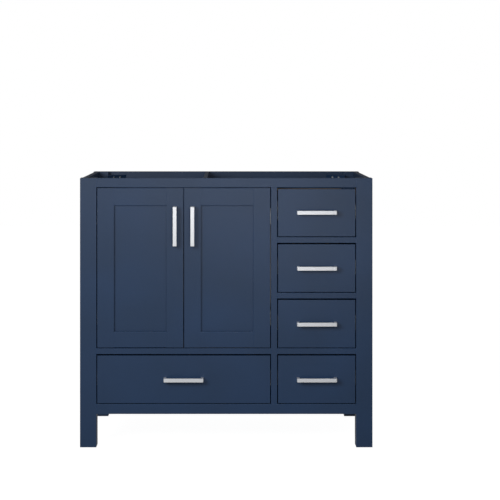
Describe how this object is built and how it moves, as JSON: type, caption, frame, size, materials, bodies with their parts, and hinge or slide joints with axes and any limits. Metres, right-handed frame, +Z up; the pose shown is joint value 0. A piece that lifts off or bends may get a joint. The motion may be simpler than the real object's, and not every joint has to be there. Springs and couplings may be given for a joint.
{
  "type": "bathroom vanity cabinet",
  "caption": "Freestanding bathroom vanity cabinet on square legs with an open top, inset frame-and-panel doors, drawers with bar pulls and a plumbing opening in the back.",
  "frame": {"origin": "centre of the box round the cabinet and its pulls, at floor level", "axes": "+X along the width to the right seen from the front, +Y from the front to the wall, +Z up"},
  "size_m": [0.914, 0.574, 0.843],
  "materials": {
    "painted_wood": "satin navy lacquer",
    "birch": "clear lacquer",
    "pull_metal": "brushed nickel plate",
    "zinc_plate": "bright zinc plate",
    "nylon": "matt"
  },
  "bodies": {
    "cabinet": {"front_left_leg": "painted_wood", "front_right_leg": "painted_wood", "rear_left_leg": "painted_wood", "rear_right_leg": "painted_wood", "left_side_panel": "painted_wood", "right_side_panel": "painted_wood", "top_front_rail": "painted_wood", "bottom_front_rail": "painted_wood", "middle_rail": "painted_wood", "centre_stile": "painted_wood", "drawer_rails": "painted_wood", "top_back_rail": "painted_wood", "partition": "painted_wood", "cupboard_floor": "painted_wood", "base_panel": "painted_wood", "back_panel": "painted_wood", "top_brace": "painted_wood", "corner_blocks": "painted_wood", "slide_cleats": "birch", "leg_glides": "nylon", "hinge_plates": "zinc_plate", "hinge_arms": "zinc_plate", "outer_slides": "zinc_plate"},
    "left_door": {"left_door_hinge_stile": "painted_wood", "left_door_handle_stile": "painted_wood", "left_door_rails": "painted_wood", "left_door_panel": "painted_wood", "left_door_handle": "pull_metal", "left_hinge_cups": "zinc_plate"},
    "right_door": {"right_door_hinge_stile": "painted_wood", "right_door_handle_stile": "painted_wood", "right_door_rails": "painted_wood", "right_door_panel": "painted_wood", "right_door_handle": "pull_metal", "right_hinge_cups": "zinc_plate"},
    "drawer_1": {"drawer_1_front": "painted_wood", "drawer_1_box": "birch", "drawer_1_handle": "pull_metal", "drawer_1_runners": "zinc_plate"},
    "drawer_1_middle": {"drawer_1_middle_slides": "zinc_plate"},
    "drawer_2": {"drawer_2_front": "painted_wood", "drawer_2_box": "birch", "drawer_2_handle": "pull_metal", "drawer_2_runners": "zinc_plate"},
    "drawer_2_middle": {"drawer_2_middle_slides": "zinc_plate"},
    "drawer_3": {"drawer_3_front": "painted_wood", "drawer_3_box": "birch", "drawer_3_handle": "pull_metal", "drawer_3_runners": "zinc_plate"},
    "drawer_3_middle": {"drawer_3_middle_slides": "zinc_plate"},
    "drawer_4": {"drawer_4_front": "painted_wood", "drawer_4_box": "birch", "drawer_4_handle": "pull_metal", "drawer_4_runners": "zinc_plate"},
    "drawer_4_middle": {"drawer_4_middle_slides": "zinc_plate"},
    "wide_drawer": {"wide_drawer_front": "painted_wood", "wide_drawer_box": "birch", "wide_drawer_handle": "pull_metal", "wide_drawer_runners": "zinc_plate"},
    "wide_drawer_middle": {"wide_drawer_middle_slides": "zinc_plate"}
  },
  "joints": [
    {"name": "left_door_hinge", "type": "hinge", "parent": "cabinet", "child": "left_door", "pos_m": [-0.38018, -0.2485, 0.56125], "axis": [0, 0, -1], "range_deg": [0, 90]},
    {"name": "right_door_hinge", "type": "hinge", "parent": "cabinet", "child": "right_door", "pos_m": [0.11418, -0.2485, 0.56125], "axis": [0, 0, 1], "range_deg": [0, 90]},
    {"name": "drawer_1_slide", "type": "slide", "parent": "cabinet", "child": "drawer_1", "axis": [0, -1, 0], "range_m": [0, 0.43]},
    {"name": "drawer_1_middle_slide", "type": "slide", "parent": "cabinet", "child": "drawer_1_middle", "axis": [0, -1, 0], "range_m": [0, 0.215]},
    {"name": "drawer_2_slide", "type": "slide", "parent": "cabinet", "child": "drawer_2", "axis": [0, -1, 0], "range_m": [0, 0.43]},
    {"name": "drawer_2_middle_slide", "type": "slide", "parent": "cabinet", "child": "drawer_2_middle", "axis": [0, -1, 0], "range_m": [0, 0.215]},
    {"name": "drawer_3_slide", "type": "slide", "parent": "cabinet", "child": "drawer_3", "axis": [0, -1, 0], "range_m": [0, 0.43]},
    {"name": "drawer_3_middle_slide", "type": "slide", "parent": "cabinet", "child": "drawer_3_middle", "axis": [0, -1, 0], "range_m": [0, 0.215]},
    {"name": "drawer_4_slide", "type": "slide", "parent": "cabinet", "child": "drawer_4", "axis": [0, -1, 0], "range_m": [0, 0.43]},
    {"name": "drawer_4_middle_slide", "type": "slide", "parent": "cabinet", "child": "drawer_4_middle", "axis": [0, -1, 0], "range_m": [0, 0.215]},
    {"name": "wide_drawer_slide", "type": "slide", "parent": "cabinet", "child": "wide_drawer", "axis": [0, -1, 0], "range_m": [0, 0.43]},
    {"name": "wide_drawer_middle_slide", "type": "slide", "parent": "cabinet", "child": "wide_drawer_middle", "axis": [0, -1, 0], "range_m": [0, 0.215]}
  ],
  "couplings": [
    {"joint": "drawer_1_middle_slide", "follows": "drawer_1_slide", "ratio": 0.5},
    {"joint": "drawer_2_middle_slide", "follows": "drawer_2_slide", "ratio": 0.5},
    {"joint": "drawer_3_middle_slide", "follows": "drawer_3_slide", "ratio": 0.5},
    {"joint": "drawer_4_middle_slide", "follows": "drawer_4_slide", "ratio": 0.5},
    {"joint": "wide_drawer_middle_slide", "follows": "wide_drawer_slide", "ratio": 0.5}
  ]
}
